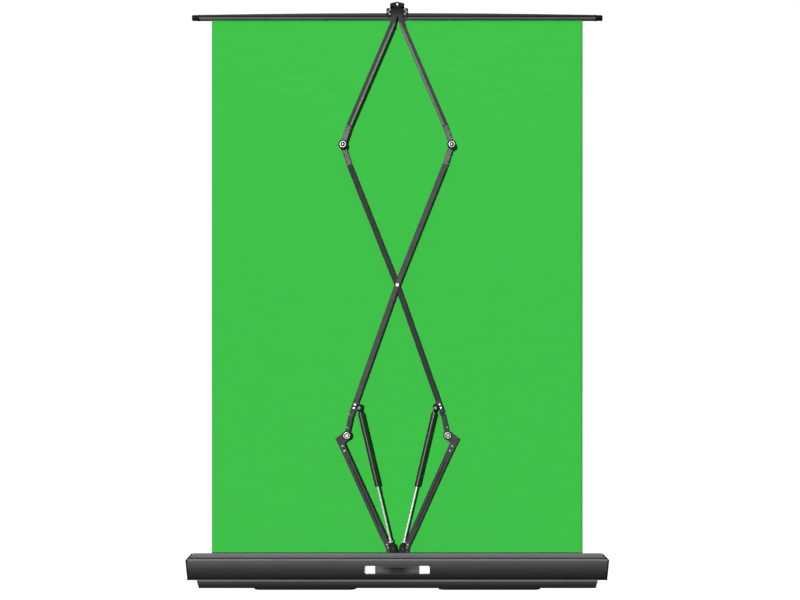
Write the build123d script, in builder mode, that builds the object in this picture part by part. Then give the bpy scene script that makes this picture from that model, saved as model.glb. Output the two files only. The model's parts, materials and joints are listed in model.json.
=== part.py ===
from build123d import *
import os
from math import hypot

# A pull-up backdrop: a long floor case with a spring roller, and a folding scissor frame
# that lifts a top rail and the cloth. Millimetres. X runs along the case, +Y points away
# from the frame side towards the cloth side, +Z is up, and z = 0 is the floor.

# ---- case ----
CASE_LENGTH = 1650.0
CAP_LENGTH = 25.0
FRONT_Y = -59.0
REAR_Y = 62.0
SHELL = 3.0
FOOT_HEIGHT = 10.0
PLINTH_LENGTH = 1564.0
PLINTH_Y = -51.0
PLINTH_TOP = 41.0
FACET_LOW = 119.0
FACET_TOP = 145.0
FACET_Y = -45.0
REAR_TOP = 126.0
CAP_DRAFT = 8.0
CAP_BORDER = 6.0
SCREW_FRONT = FRONT_Y + 22
SCREW_REAR = REAR_Y - 22
TRAY_WALL_TOP = 60.0
TRAY_REAR = REAR_Y - SHELL
PLINTH_STEP = 4.0
BODY_HALF = CASE_LENGTH / 2 - CAP_LENGTH

# ---- carrying handle ----
HANDLE_Z = 81.5
RECESS_LENGTH = 253.0
RECESS_HEIGHT = 31.0
RECESS_FLOOR_Y = -48.0
STRAP_HALF = 85.5
STRAP_HEIGHT = 27.0
STRAP_FRONT = -62.0
STRAP_THICKNESS = 3.2
RECESS_TOP = HANDLE_Z + RECESS_HEIGHT / 2
BROW_HALF = 80.0
BROW_DROP = 5.0

# ---- feet ----
FOOT_X = 361.0
FOOT_LENGTH = 401.0
FOOT_WIDTH = 80.0
FOOT_BOLT_RADIUS = 5.0

# ---- linkage, pivot centres as (x, z) with the left side given; the right side mirrors it ----
BASE_PIVOT = (-26.52, 30.0)
LOWER_KNEE = (-198.2, 602.0)
CROSSING = (0.0, 1193.4)
UPPER_KNEE = (-213.7, 1744.0)
TOP_PIVOT = (0.0, 2292.5)
ARM_TOP = (-229.0, 592.0)
ARM_LOW = (-59.0, 215.0)
LONG_BAR_LOW_END = (-181.7, 680.0)
LONG_BAR_HIGH_END = (-188.0, 1665.4)
UPPER_ARM_LOW_END = (-189.0, 1818.0)
UPPER_ARM_HIGH_END = (-18.0, 2217.0)
STRUT_TOP = (-150.0, 716.0)
STRUT_LOW = (-10.0, 120.0)

# ---- bars ----
BAR_DEPTH = 9.0
BAR_WALL = 1.6
UPPER_ARM_WIDTH = 21.0
LONG_BAR_WIDTH = 21.5
LOWER_ARM_WIDTH = 24.0
ARM_Y = -18.0
LONG_BAR_A_Y = -8.0
LONG_BAR_B_Y = 2.0
PIN_RADIUS = 5.0
RUNNING_GAP = 0.05
OPEN_PIVOT_GAP = 2.0
KNEE_CAP_RADIUS = 18.0
TOP_PIN_RADIUS = 4.0
TOP_PIVOT_GAP = 4.25

# ---- gas struts ----
STRUT_Y = -31.0
CYLINDER_RADIUS = 10.25
CYLINDER_LENGTH = 321.0
ROD_RADIUS = 4.4
ROD_INSERTION = 60.0
EYE_RADIUS = 9.0
EYE_DEPTH = 14.0

# ---- roller and cloth ----
ROLLER_Y = 38.5
ROLLER_Z = 34.0
ROLLER_RADIUS = 12.0
ROLLER_HALF = 738.0
CLOTH_WIDTH = 1465.0
CLOTH_Y = 25.1
CLOTH_THICKNESS = 0.8

# ---- top rail and hub ----
RAIL_HALF = 781.5
RAIL_FRONT = 16.0
RAIL_REAR = 38.0
RAIL_BOTTOM = 2240.0
RAIL_SEAM = 2254.0
SPINE_END_TOP = 2260.0
SPINE_MID_TOP = 2267.0
RAIL_CAP_LENGTH = 29.0
HUB_HALF = 28.5
HUB_BOTTOM = TOP_PIVOT[1] - 6.2
HUB_TOP = 2304.0
HUB_CROWN = 6.0
HUB_FRONT = -8.5

os.makedirs("parts", exist_ok=True)


def write(piece, name):
    """Label one finished sub-part and write its STEP file."""
    piece.label = name
    export_step(piece, f"parts/{name}.step")


def mirrored(point):
    """The same pivot on the right-hand side."""
    return (-point[0], point[1])


def front_plane(y):
    """A plane facing the front at depth y, whose sketch coordinates are x and z."""
    return Plane.XZ.offset(-y)


def direction(start, end):
    """Unit vector in the x-z plane from start to end."""
    length = hypot(end[0] - start[0], end[1] - start[1])
    return ((end[0] - start[0]) / length, (end[1] - start[1]) / length)


def along(start, end, distance, offset=0.0):
    """A point so far from start towards end, moved sideways to the right of that line."""
    dx, dz = direction(start, end)
    return (start[0] + dx * distance + dz * offset, start[1] + dz * distance - dx * offset)


def section_plane(start, end, y):
    """A plane across a bar at its start, normal to the bar, with local x along +Y."""
    dx, dz = direction(start, end)
    return Plane(origin=(start[0], y, start[1]), x_dir=(0, 1, 0), z_dir=(dx, 0, dz))


def distance(start, end):
    """Length of the straight line between two pivots."""
    return hypot(end[0] - start[0], end[1] - start[1])


def bar_section(plane, width, shrink=0.0, groove=0.0):
    """Section of a bar: flat back, chamfered front edges and an optional front groove."""
    half = width / 2 - shrink
    depth = BAR_DEPTH / 2 - shrink
    edge = 2.4 - 0.4 * shrink
    with BuildSketch(plane) as section:
        with BuildLine():
            Polyline((depth, -half), (depth, half), (-depth + edge, half), (-depth, half - edge),
                     (-depth, -half + edge), (-depth + edge, -half), close=True)
        make_face()
        if groove:
            with Locations((-depth, 0)):
                Rectangle(groove, groove * 1.2, mode=Mode.SUBTRACT)
    return section.sketch


def bar_run(start, end, width, y_front, groove=0.0, hollow=True):
    """Add one straight run of hollow bar to the part being built."""
    plane = section_plane(start, end, y_front + BAR_DEPTH / 2)
    extrude(bar_section(plane, width, 0.0, groove), amount=distance(start, end))
    if hollow:
        inside = bar_section(plane, width, BAR_WALL + groove / 2)
        extrude(inside, amount=distance(start, end), mode=Mode.SUBTRACT)


def round_spot(centre, radius, y):
    """A circle facing the front at depth y."""
    with BuildSketch(front_plane(y)) as spot:
        with Locations(centre):
            Circle(radius)
    return spot.sketch


def pivot_hole(pivot, radius):
    """Cut a hole through everything along Y at one pivot."""
    extrude(round_spot(pivot, radius, -100), amount=-200, mode=Mode.SUBTRACT)


def disc(centre, radius, y_front, y_back):
    """Add a round boss, pin or head along Y."""
    extrude(round_spot(centre, radius, y_front), amount=y_front - y_back)


def plate(circles, y_front, thickness):
    """Add a flat plate whose outline wraps a row of circles given as (centre, radius)."""
    with BuildSketch(front_plane(y_front)) as outline:
        for centre, radius in circles:
            with Locations(centre):
                Circle(radius)
        make_hull()
    extrude(outline.sketch, amount=-thickness)


def hexagon(centre, radius, y_front, y_back):
    """Add a hexagonal nut or bolt head along Y."""
    with BuildSketch(front_plane(y_front)) as outline:
        with Locations(centre):
            RegularPolygon(radius, 6)
    extrude(outline.sketch, amount=y_front - y_back)


def profile(points, half_length):
    """Extrude a closed y-z outline along the case, the same both ways from the middle."""
    with BuildSketch(Plane.YZ) as outline:
        with BuildLine():
            Polyline(*points, close=True)
        make_face()
    extrude(outline.sketch, amount=half_length, both=True)


# ======================= case =======================

PANEL_INSIDE = ((FACET_Y + SHELL, FACET_TOP - 1.6), (FRONT_Y + SHELL + 0.5, FACET_LOW - 3),
                (FRONT_Y + SHELL, FACET_LOW - 6), (FRONT_Y + SHELL, PLINTH_TOP + 9),
                (PLINTH_Y - 0.2, PLINTH_TOP + 9), (PLINTH_Y - 0.2, PLINTH_TOP))


def front_silhouette(inset):
    """Outline of the case seen from the front, pulled in from its drafted and bevelled ends."""
    widest = CASE_LENGTH / 2 - inset
    corners = [(widest - CAP_DRAFT, PLINTH_TOP - 9), (widest - CAP_DRAFT, PLINTH_TOP), (widest, FACET_LOW),
               (widest - CAP_LENGTH + 1, FACET_TOP), (widest - CAP_LENGTH - 8, FACET_TOP + 9)]
    with BuildSketch(front_plane(FRONT_Y - 9)) as outline:
        with BuildLine():
            Polyline(*corners, *[mirrored(corner) for corner in reversed(corners)], close=True)
        make_face()
    return outline.sketch


def brow(gap):
    """The panel's lower-hanging edge over the middle of the carrying strap, with room below it."""
    with BuildSketch(front_plane(FRONT_Y - 4)) as edge:
        with BuildLine():
            arc = ThreePointArc((-BROW_HALF, RECESS_TOP + 1 - gap), (0, RECESS_TOP - BROW_DROP - gap),
                                (BROW_HALF, RECESS_TOP + 1 - gap))
            Polyline(arc @ 0, (-BROW_HALF, RECESS_TOP + 9), (BROW_HALF, RECESS_TOP + 9), arc @ 1)
        make_face()
    return edge.sketch


with BuildPart() as front_panel:
    profile([(FRONT_Y + 2, PLINTH_TOP), (FRONT_Y, PLINTH_TOP + 2), (FRONT_Y, FACET_LOW - 2),
             (FRONT_Y + 1.4, FACET_LOW - 1), (FRONT_Y + 0.6, FACET_LOW + 1), (FACET_Y, FACET_TOP),
             *PANEL_INSIDE], CASE_LENGTH / 2)
    extrude(front_silhouette(CAP_BORDER), amount=-40, mode=Mode.INTERSECT)
    with BuildSketch(front_plane(FRONT_Y - 1)) as opening:
        with Locations((0, HANDLE_Z)):
            RectangleRounded(RECESS_LENGTH, RECESS_HEIGHT, 7)
        add(brow(0), mode=Mode.SUBTRACT)
    extrude(opening.sketch, amount=-6, mode=Mode.SUBTRACT)
write(front_panel.part, "front_panel")

with BuildPart() as rear_panel:
    profile([(REAR_Y - SHELL, 30), (REAR_Y, 30), (REAR_Y, REAR_TOP), (REAR_Y - 9, REAR_TOP),
             (REAR_Y - 9, REAR_TOP - 5), (REAR_Y - 7, REAR_TOP - 5), (REAR_Y - 7, REAR_TOP - 2.5),
             (REAR_Y - SHELL, REAR_TOP - 2.5)], BODY_HALF)
write(rear_panel.part, "rear_panel")

with BuildPart() as base_tray:
    profile([(PLINTH_Y - PLINTH_STEP, FOOT_HEIGHT), (TRAY_REAR, FOOT_HEIGHT), (TRAY_REAR, TRAY_WALL_TOP),
             (TRAY_REAR - SHELL, TRAY_WALL_TOP), (TRAY_REAR - SHELL, FOOT_HEIGHT + SHELL),
             (PLINTH_Y + SHELL, FOOT_HEIGHT + SHELL), (PLINTH_Y + SHELL, TRAY_WALL_TOP),
             (PLINTH_Y, TRAY_WALL_TOP), (PLINTH_Y, PLINTH_TOP - 1.2),
             (PLINTH_Y - PLINTH_STEP, PLINTH_TOP - 5)], PLINTH_LENGTH / 2)
    for side in (-1, 1):
        with Locations((side * (PLINTH_LENGTH / 2 - SHELL / 2), (PLINTH_Y + TRAY_REAR) / 2, FOOT_HEIGHT)):
            Box(SHELL, TRAY_REAR - PLINTH_Y, 35, align=(Align.CENTER, Align.CENTER, Align.MIN))
    with BuildSketch(Plane.XZ):
        for side in (-1, 1):
            with BuildLine():
                Polyline((side * PLINTH_LENGTH / 2, PLINTH_TOP),
                         (side * (PLINTH_LENGTH / 2 - 9), FOOT_HEIGHT),
                         (side * (PLINTH_LENGTH / 2 + 9), FOOT_HEIGHT), close=True)
            make_face()
    extrude(amount=100, both=True, mode=Mode.SUBTRACT)
    with Locations((-FOOT_X, 0, FOOT_HEIGHT), (FOOT_X, 0, FOOT_HEIGHT)):
        Cylinder(FOOT_BOLT_RADIUS, 20, mode=Mode.SUBTRACT)
write(base_tray.part, "base_tray")


with BuildPart() as panel_seat:
    profile([(FRONT_Y - 9, PLINTH_TOP - 9), (FRONT_Y - 9, FACET_TOP + 9), (FACET_Y + SHELL, FACET_TOP + 9),
             *PANEL_INSIDE, (PLINTH_Y - 0.2, PLINTH_TOP - 9)], CASE_LENGTH / 2)
    extrude(front_silhouette(CAP_BORDER), amount=-40, mode=Mode.INTERSECT)


def end_cap(side):
    """Moulded end of the case: a hollow block, drafted and bevelled, that frames the panel's end."""
    inner = side * BODY_HALF
    floor_inner = side * (PLINTH_LENGTH / 2 + 0.2)
    with BuildPart() as cap:
        with BuildSketch(Plane.YZ.offset(inner)):
            with BuildLine():
                Polyline((FRONT_Y, PLINTH_TOP), (FRONT_Y, FACET_LOW), (FACET_Y, FACET_TOP),
                         (FACET_Y + SHELL + 1, FACET_TOP - 1), (FACET_Y + 19, REAR_TOP + 5),
                         (REAR_Y, REAR_TOP), (REAR_Y, PLINTH_TOP), close=True)
            make_face()
        extrude(amount=side * CAP_LENGTH)
        with BuildSketch(Plane.YZ.offset(inner)):
            with BuildLine():
                Polyline((FRONT_Y + SHELL, PLINTH_TOP + 6), (FRONT_Y + SHELL, FACET_LOW - 2),
                         (FACET_Y + SHELL, FACET_TOP - 2), (FACET_Y + SHELL, FACET_TOP + 5),
                         (REAR_Y - SHELL, FACET_TOP + 5), (REAR_Y - SHELL, PLINTH_TOP + 6), close=True)
            make_face()
        extrude(amount=side * (CAP_LENGTH - 9), mode=Mode.SUBTRACT)
        extrude(front_silhouette(0), amount=-150, mode=Mode.INTERSECT)
        with BuildSketch(Plane.XY.offset(PLINTH_TOP + 3.2)):
            with Locations(((floor_inner + inner) / 2, (PLINTH_Y + REAR_Y) / 2)):
                Rectangle(abs(inner - floor_inner) + 0.01, 96)
        extrude(amount=2.6)
        add(panel_seat.part, mode=Mode.SUBTRACT)
    return cap.part


write(end_cap(-1), "end_cap_left")
write(end_cap(1), "end_cap_right")

with BuildPart() as case_screws:
    for side in (-1, 1):
        for screw_y, screw_z in ((SCREW_FRONT, 60), (SCREW_REAR, 60), (SCREW_FRONT, 98), (SCREW_REAR, 98)):
            lean = CAP_DRAFT * (FACET_LOW - screw_z) / (FACET_LOW - PLINTH_TOP)
            with BuildSketch(Plane.YZ.offset(side * (CASE_LENGTH / 2 - lean + 0.5))):
                with Locations((screw_y, screw_z)):
                    Circle(4.5)
            extrude(amount=side * 1.4)
    with BuildSketch(Plane.XY.offset(FOOT_HEIGHT + SHELL + 3)):
        with Locations((-48, -14), (48, -14)):
            RegularPolygon(5.5, 6)
    extrude(amount=4)
write(case_screws.part, "case_screws")

with BuildPart() as handle_recess:
    with BuildSketch(front_plane(FRONT_Y + 0.2)):
        with Locations((0, HANDLE_Z)):
            RectangleRounded(RECESS_LENGTH - 0.4, RECESS_HEIGHT - 0.4, 6.8)
    extrude(amount=-(RECESS_FLOOR_Y + 2 - FRONT_Y - 0.2))
    with BuildSketch(front_plane(FRONT_Y + 0.2)):
        with Locations((0, HANDLE_Z)):
            RectangleRounded(RECESS_LENGTH - 3.4, RECESS_HEIGHT - 3.0, 5.5)
    extrude(amount=-(RECESS_FLOOR_Y - FRONT_Y - 0.2), mode=Mode.SUBTRACT)
    extrude(brow(0.3), amount=-(SHELL + 4.3), mode=Mode.SUBTRACT)
write(handle_recess.part, "handle_recess")

with BuildPart() as handle_strap:
    with BuildSketch(Plane.XY.offset(HANDLE_Z - STRAP_HEIGHT / 2)):
        with BuildLine():
            outer = ThreePointArc((-STRAP_HALF, RECESS_FLOOR_Y), (0, STRAP_FRONT),
                                  (STRAP_HALF, RECESS_FLOOR_Y))
            inner_arc = ThreePointArc((-STRAP_HALF + 6, RECESS_FLOOR_Y), (0, STRAP_FRONT + STRAP_THICKNESS),
                                      (STRAP_HALF - 6, RECESS_FLOOR_Y))
            Line(outer @ 0, inner_arc @ 0)
            Line(outer @ 1, inner_arc @ 1)
        make_face()
    extrude(amount=STRAP_HEIGHT)
    extrude(brow(0.3), amount=-(SHELL + 4.3), mode=Mode.SUBTRACT)
write(handle_strap.part, "handle_strap")

# ======================= base bracket and roller =======================

BRACKET_FRONT = -23.0
BRACKET_PLATE = 3.5
BRACKET_REAR = -8.5
STUD_RADIUS = 4.0

with BuildPart() as base_bracket:
    with Locations((0, (BRACKET_FRONT + BRACKET_REAR + 3) / 2, FOOT_HEIGHT + SHELL)):
        Box(124, BRACKET_REAR + 3 - BRACKET_FRONT, 3, align=(Align.CENTER, Align.CENTER, Align.MIN))
    with BuildSketch(front_plane(BRACKET_FRONT)):
        with BuildLine():
            Polyline((-44, FOOT_HEIGHT + SHELL), (-44, 44), (-24, 66), (-20, 130), (20, 130), (24, 66),
                     (44, 44), (44, FOOT_HEIGHT + SHELL), close=True)
        make_face()
    extrude(amount=-BRACKET_PLATE)
    with BuildSketch(front_plane(BRACKET_REAR)):
        with Locations((0, (FOOT_HEIGHT + SHELL + 44) / 2)):
            Rectangle(88, 44 - FOOT_HEIGHT - SHELL)
    extrude(amount=-3)
    for pivot in (BASE_PIVOT, mirrored(BASE_PIVOT)):
        pivot_hole(pivot, PIN_RADIUS)
    for stud in (STRUT_LOW, mirrored(STRUT_LOW)):
        disc(stud, STUD_RADIUS, STRUT_Y - EYE_DEPTH / 2 - 1.5, BRACKET_FRONT)
        disc(stud, 6.5, STRUT_Y + EYE_DEPTH / 2 + 0.4, BRACKET_FRONT)
write(base_bracket.part, "base_bracket")

with BuildPart() as base_pivot_pins:
    for pivot in (BASE_PIVOT, mirrored(BASE_PIVOT)):
        disc(pivot, PIN_RADIUS, BRACKET_FRONT, BRACKET_REAR + 3)
        disc(pivot, 8, BRACKET_FRONT - 3, BRACKET_FRONT)
        disc(pivot, 8, BRACKET_REAR + 3, BRACKET_REAR + 5)
write(base_pivot_pins.part, "base_pivot_pins")


with BuildPart() as roller_brackets:
    for side in (-1, 1):
        with BuildSketch(Plane.YZ.offset(side * 745)):
            with BuildLine():
                Polyline((ROLLER_Y - 16, FOOT_HEIGHT + SHELL), (ROLLER_Y - 16, 36), (ROLLER_Y - 8, 52),
                         (ROLLER_Y + 8, 52), (ROLLER_Y + 16, 36), (ROLLER_Y + 16, FOOT_HEIGHT + SHELL),
                         close=True)
            make_face()
            with Locations((ROLLER_Y, ROLLER_Z)):
                Circle(4 + RUNNING_GAP, mode=Mode.SUBTRACT)
        extrude(amount=side * 4)
        with Locations((side * 755, ROLLER_Y, FOOT_HEIGHT + SHELL)):
            Box(20, 32, 3, align=(Align.CENTER, Align.CENTER, Align.MIN))
write(roller_brackets.part, "roller_brackets")

ROLLER_PLANE = Plane(origin=(0, ROLLER_Y, ROLLER_Z), x_dir=(0, 1, 0), z_dir=(1, 0, 0))

with BuildPart() as roller_tube:
    with BuildSketch(ROLLER_PLANE):
        Circle(ROLLER_RADIUS)
        Circle(ROLLER_RADIUS - 1.5, mode=Mode.SUBTRACT)
    extrude(amount=ROLLER_HALF, both=True)
write(roller_tube.part, "roller_tube")

with BuildPart() as roller_plugs:
    for side in (-1, 1):
        with BuildSketch(ROLLER_PLANE.offset(side * (ROLLER_HALF - 22))):
            Circle(ROLLER_RADIUS - 1.5)
        extrude(amount=side * 22)
        with BuildSketch(ROLLER_PLANE.offset(side * ROLLER_HALF)):
            Circle(ROLLER_RADIUS)
        extrude(amount=side * 3)
        with BuildSketch(ROLLER_PLANE.offset(side * (ROLLER_HALF + 3))):
            Circle(4)
        extrude(amount=side * 9)
write(roller_plugs.part, "roller_plugs")

with BuildPart() as roller_spring:
    with BuildSketch(ROLLER_PLANE.offset(ROLLER_HALF - 22 - 420)):
        Circle(8)
        Circle(6.2, mode=Mode.SUBTRACT)
    extrude(amount=420)
write(roller_spring.part, "roller_spring")

with BuildPart() as fabric_panel:
    with Locations((0, CLOTH_Y, ROLLER_Z)):
        Box(CLOTH_WIDTH, CLOTH_THICKNESS, RAIL_BOTTOM - ROLLER_Z - 0.3,
            align=(Align.CENTER, Align.MIN, Align.MIN))
write(fabric_panel.part, "fabric_panel")

# ======================= feet =======================


def foot(side):
    """Swivelling outrigger bar with rounded ends, carried on one vertical bolt."""
    with BuildPart() as bar:
        with BuildSketch(Plane.XY):
            with Locations((side * FOOT_X, 0)):
                RectangleRounded(FOOT_LENGTH, FOOT_WIDTH, 30)
        extrude(amount=FOOT_HEIGHT - 0.3)
        fillet(bar.faces().sort_by(Axis.Z)[0].edges(), 3)
        with BuildSketch(Plane.XY):
            with Locations((side * FOOT_X, 0)):
                Circle(11)
        extrude(amount=4.5, mode=Mode.SUBTRACT)
        with BuildSketch(Plane.XY):
            with Locations((side * FOOT_X, 0)):
                Circle(FOOT_BOLT_RADIUS + RUNNING_GAP)
        extrude(amount=FOOT_HEIGHT, mode=Mode.SUBTRACT)
    return bar.part


write(foot(-1), "foot_left")
write(foot(1), "foot_right")

with BuildPart() as foot_bolts:
    for side in (-1, 1):
        with BuildSketch(Plane.XY.offset(1)):
            with Locations((side * FOOT_X, 0)):
                Circle(10)
        extrude(amount=3.2)
        with BuildSketch(Plane.XY.offset(4.2)):
            with Locations((side * FOOT_X, 0)):
                Circle(FOOT_BOLT_RADIUS)
        extrude(amount=FOOT_HEIGHT + SHELL - 4.2)
        with BuildSketch(Plane.XY.offset(FOOT_HEIGHT + SHELL)):
            with Locations((side * FOOT_X, 0)):
                RegularPolygon(9, 6)
        extrude(amount=5)
write(foot_bolts.part, "foot_bolts")

# ======================= lower arms and knees =======================

GUSSET_THICKNESS = 2.0
GUSSET_CORNER = (-240.0, 589.0)
NUT_HEIGHT = 4.0


def lower_arm(mirror):
    """Grooved lower arm between its foot bracket and the knee gusset."""
    top, low = mirror(ARM_TOP), mirror(ARM_LOW)
    with BuildPart() as arm:
        bar_run(along(low, top, -18), along(low, top, distance(low, top) - 30), LOWER_ARM_WIDTH, ARM_Y, 2.6)
    return arm.part


def lower_arm_foot(mirror):
    """Cranked end that carries the lower arm down to its pivot in the case."""
    low, top, pivot = mirror(ARM_LOW), mirror(ARM_TOP), mirror(BASE_PIVOT)
    elbow = along(low, top, -62)
    with BuildPart() as crank:
        plate([(along(low, top, -30), 10.5), (elbow, 10.5)], ARM_Y, BAR_DEPTH)
        plate([(elbow, 10.5), (pivot, 11)], ARM_Y, BAR_DEPTH)
        plate([(along(low, top, 25), 9), (elbow, 10.5)], ARM_Y - GUSSET_THICKNESS, GUSSET_THICKNESS)
        pivot_hole(pivot, PIN_RADIUS + RUNNING_GAP)
    return crank.part


def knee_gusset(mirror):
    """L-shaped bracket that joins the lower arm to the lower knee pivot."""
    top, low, knee = mirror(ARM_TOP), mirror(ARM_LOW), mirror(LOWER_KNEE)
    corner = mirror(GUSSET_CORNER)
    with BuildPart() as gusset:
        front, shoulder = ARM_Y - GUSSET_THICKNESS, along(top, low, 18)
        plate([(corner, 2.5), (knee, 17), (shoulder, 11)], front, GUSSET_THICKNESS)
        plate([(corner, 2.5), (shoulder, 11), (along(top, low, 86), 11.5)], front, GUSSET_THICKNESS)
        plate([(shoulder, 11), (knee, 16)], ARM_Y, BAR_DEPTH)
        pivot_hole(knee, PIN_RADIUS)
    return gusset.part


def knee_pin(pivot, front, bar_y):
    """Knee bolt: domed cap in front, shank through both bars, spacer between them, nut behind."""
    with BuildPart() as pin:
        disc(pivot, KNEE_CAP_RADIUS, front - 1.6, front)
        disc(pivot, KNEE_CAP_RADIUS - 3.2, front - 3.0, front - 1.6)
        disc(pivot, 8.5, front - 4.6, front - 3.0)
        disc(pivot, PIN_RADIUS, front, bar_y + BAR_DEPTH + 0.3 + NUT_HEIGHT)
        disc(pivot, 9, ARM_Y + BAR_DEPTH, bar_y - 0.3)
        hexagon(pivot, 9.5, bar_y + BAR_DEPTH + 0.3, bar_y + BAR_DEPTH + 0.3 + NUT_HEIGHT)
    return pin.part


def arm_rivets(mirror):
    """Button-head rivets that hold the gusset and the cranked end to the lower arm."""
    top, low = mirror(ARM_TOP), mirror(ARM_LOW)
    face = ARM_Y - GUSSET_THICKNESS
    with BuildPart() as rivets:
        for spot in (along(top, low, 34), along(top, low, 54), along(low, top, -56), along(low, top, -44)):
            disc(spot, 3.6, face - 1.2, face)
    return rivets.part


def same(point):
    """The pivot on the left-hand side, unchanged."""
    return point


for side, mirror, bar_y in (("left", same, LONG_BAR_A_Y), ("right", mirrored, LONG_BAR_B_Y)):
    write(lower_arm(mirror), f"lower_arm_{side}")
    write(lower_arm_foot(mirror), f"lower_arm_foot_{side}")
    write(knee_gusset(mirror), f"knee_gusset_{side}")
    write(arm_rivets(mirror), f"arm_rivets_{side}")
    write(knee_pin(mirror(LOWER_KNEE), ARM_Y - GUSSET_THICKNESS, bar_y), f"lower_knee_pin_{side}")

# ======================= long bars =======================

STRUT_PLATE = 1.5
STUD_GAP = 1.3
BUTT_GAP = 1.0
BRACKET_HOLE_RADIUS = 2.4
HOLE_OFFSET = 6.0
HOLE_REACH = (14, 42)


def long_bar(low, high, y_front, crossing_radius):
    """Long scissor bar: two straight halves that meet at the crossing with a slight bend."""
    runs = ((low, along(CROSSING, low, -6)), (high, along(CROSSING, high, -6)))
    with BuildPart() as bar:
        for start, end in runs:
            bar_run(start, end, LONG_BAR_WIDTH, y_front, hollow=False)
        for start, end in runs:
            plane = section_plane(start, end, y_front + BAR_DEPTH / 2)
            inside = bar_section(plane, LONG_BAR_WIDTH, BAR_WALL)
            extrude(inside, amount=distance(start, end) - 40, mode=Mode.SUBTRACT)
        pivot_hole(CROSSING, crossing_radius)
    return bar.part


def bar_end(knee, bar, y_front, width, eye_radius, holes=()):
    """End bracket: an eye at the knee, then a straight bar with small holes that butts on the main bar."""
    with BuildPart() as end:
        disc(knee, 15.5, y_front, y_front + BAR_DEPTH)
        bar_run(knee, along(bar, knee, BUTT_GAP), width, y_front, hollow=False)
        for spot in holes:
            pivot_hole(spot, BRACKET_HOLE_RADIUS)
        pivot_hole(knee, eye_radius)
    return end.part


def bracket_holes(place, bar):
    """The two small holes of an upper knee bracket, nearer its outer edge."""
    outward = HOLE_OFFSET if bar[1] > UPPER_KNEE[1] else -HOLE_OFFSET
    return [place(along(bar, UPPER_KNEE, reach, outward)) for reach in HOLE_REACH]


def strut_bracket(bar, spot, y_front):
    """Small plate on the long bar, behind the strut's upper stud."""
    with BuildPart() as bracket:
        plate([(along(bar, CROSSING, 22), 8), (along(bar, CROSSING, 54), 8), (spot, 7.5)],
              y_front - STRUT_PLATE, STRUT_PLATE)
    return bracket.part


def bar_rivets(place, y_front):
    """Rivets of the strut bracket and the lower end bracket, and the stop stud on the bar's outer edge."""
    end = LONG_BAR_LOW_END
    with BuildPart() as rivets:
        for spot in (along(end, CROSSING, 32), along(end, CROSSING, 46)):
            disc(place(spot), 2.8, y_front - STRUT_PLATE - 0.9, y_front - STRUT_PLATE)
        disc(place(along(end, CROSSING, 4, -9)), 1.6, y_front - 0.6, y_front)
        disc(place(along(end, LOWER_KNEE, 49, 5)), 2.4, y_front - 0.6, y_front)
    return rivets.part


for letter, place, opposite, y_front, radius in (
        ("a", same, mirrored, LONG_BAR_A_Y, PIN_RADIUS),
        ("b", mirrored, same, LONG_BAR_B_Y, PIN_RADIUS + OPEN_PIVOT_GAP)):
    low, high = place(LONG_BAR_LOW_END), opposite(LONG_BAR_HIGH_END)
    eye_radius = PIN_RADIUS + RUNNING_GAP
    write(long_bar(low, high, y_front, radius), f"long_bar_{letter}")
    write(bar_end(place(LOWER_KNEE), low, y_front, 19, eye_radius), f"long_bar_{letter}_lower_end")
    holes = bracket_holes(opposite, LONG_BAR_HIGH_END)
    write(bar_end(opposite(UPPER_KNEE), high, y_front, 21, eye_radius, holes), f"long_bar_{letter}_upper_end")
    write(strut_bracket(low, place(STRUT_TOP), y_front), f"strut_bracket_{letter}")
    write(bar_rivets(place, y_front), f"bar_rivets_{letter}")

with BuildPart() as cross_pin:
    disc(CROSSING, 6.0, LONG_BAR_A_Y - 0.8, LONG_BAR_A_Y)
    disc(CROSSING, PIN_RADIUS, LONG_BAR_A_Y, LONG_BAR_B_Y + BAR_DEPTH + 0.2)
    disc(CROSSING, 9.0, LONG_BAR_B_Y + BAR_DEPTH + 0.2, LONG_BAR_B_Y + BAR_DEPTH + 1.2)
write(cross_pin.part, "cross_pin")

# ======================= upper arms =======================

LAP_THICKNESS = BAR_DEPTH / 2 - 0.2


def upper_arm(mirror, lap_y, hole_radius):
    """Upper arm: a hollow bar whose top is a half-thickness eye on the hub pin."""
    low, high = mirror(UPPER_ARM_LOW_END), mirror(UPPER_ARM_HIGH_END)
    with BuildPart() as arm:
        bar_run(low, high, UPPER_ARM_WIDTH, ARM_Y)
        plate([(along(high, low, 20), 8.0), (along(high, TOP_PIVOT, 8), 9.5),
               (TOP_PIVOT, UPPER_ARM_WIDTH / 2)], lap_y, LAP_THICKNESS)
        pivot_hole(TOP_PIVOT, hole_radius)
    return arm.part


for side, mirror, lap_y, radius, bar_y in (
        ("left", same, ARM_Y + BAR_DEPTH / 2 + 0.2, TOP_PIN_RADIUS + TOP_PIVOT_GAP, LONG_BAR_B_Y),
        ("right", mirrored, ARM_Y, TOP_PIN_RADIUS + RUNNING_GAP, LONG_BAR_A_Y)):
    knee, low = mirror(UPPER_KNEE), mirror(UPPER_ARM_LOW_END)
    holes = bracket_holes(mirror, UPPER_ARM_LOW_END)
    write(upper_arm(mirror, lap_y, radius), f"upper_arm_{side}")
    write(bar_end(knee, low, ARM_Y, 21, PIN_RADIUS, holes), f"upper_arm_bracket_{side}")
    write(knee_pin(knee, ARM_Y, bar_y), f"upper_knee_pin_{side}")

# ======================= gas struts =======================

STRUT_LENGTH = distance(STRUT_LOW, STRUT_TOP)
CYLINDER_START = STRUT_LENGTH - CYLINDER_LENGTH
CYLINDER_END = STRUT_LENGTH - 26.0
GLAND_LENGTH = 14.0


def round_run(low, top, start, length, radius, mode=Mode.ADD):
    """Add a round length of strut, measured along its axis from the lower ball."""
    with BuildSketch(section_plane(along(low, top, start), top, STRUT_Y)) as section:
        Circle(radius)
    extrude(section.sketch, amount=length, mode=mode)


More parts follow.
